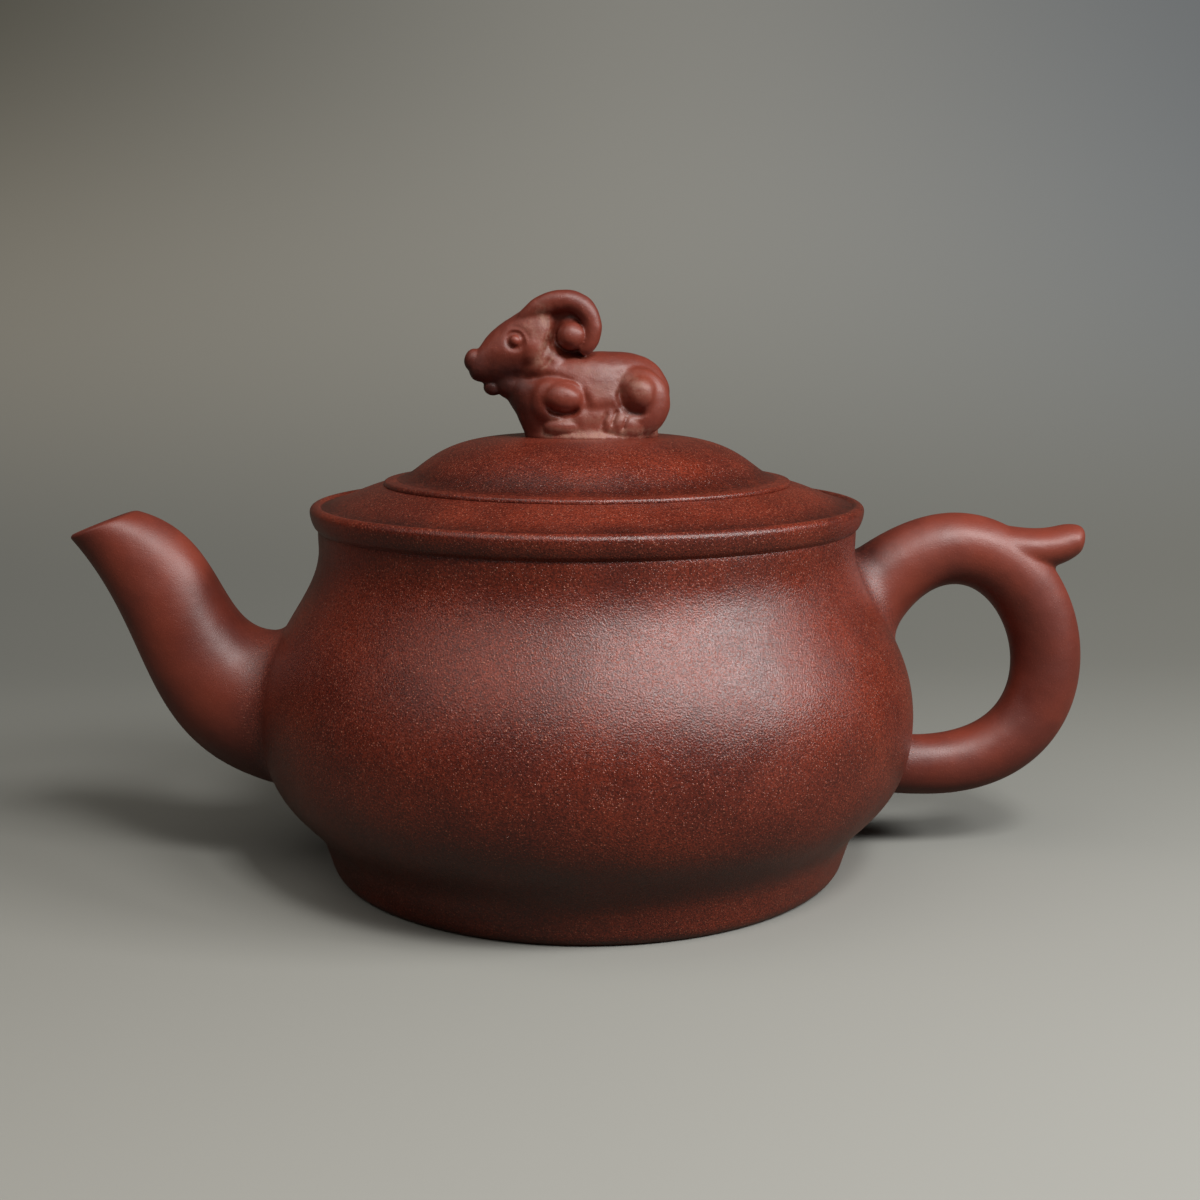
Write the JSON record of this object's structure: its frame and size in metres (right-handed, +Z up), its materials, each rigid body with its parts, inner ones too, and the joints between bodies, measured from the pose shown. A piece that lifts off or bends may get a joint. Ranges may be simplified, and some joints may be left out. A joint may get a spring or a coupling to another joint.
{
  "type": "teapot",
  "caption": "Lidded clay teapot with a round belly, curved spout, ear-shaped handle and a small crouching ram as the lid's knob.",
  "frame": {"origin": "on the pot's axis, in the plane of the table that the foot ring stands on", "axes": "+X from the axis towards the handle, spout towards -X, +Z up"},
  "size_m": [0.1559, 0.1, 0.0877],
  "materials": {
    "grained_clay": "unglazed, speckled with pale grains, satin",
    "smooth_clay": "unglazed, burnished smooth, satin"
  },
  "bodies": {
    "pot": {"foot_ring": "grained_clay", "bottom_disc": "grained_clay", "body_wall": "grained_clay", "rim_coil": "grained_clay", "shoulder_slab": "grained_clay", "strainer": "smooth_clay", "spout": "smooth_clay", "handle_loop": "smooth_clay", "thumb_rest": "smooth_clay"},
    "lid": {"lid_plate": "grained_clay", "lid_dome": "grained_clay", "lid_flange": "grained_clay", "ram_body": "smooth_clay", "ram_head": "smooth_clay", "ram_nose": "smooth_clay", "ram_beard": "smooth_clay", "ram_horn_left": "smooth_clay", "ram_horn_right": "smooth_clay", "ram_eye_left": "smooth_clay", "ram_eye_right": "smooth_clay", "ram_foreleg_left": "smooth_clay", "ram_foreleg_right": "smooth_clay", "ram_hindleg_left": "smooth_clay", "ram_hindleg_right": "smooth_clay"}
  },
  "joints": [
    {"name": "lid_lift", "type": "slide", "parent": "pot", "child": "lid", "axis": [0, 0, 1], "range_m": [0, 0.05]}
  ]
}
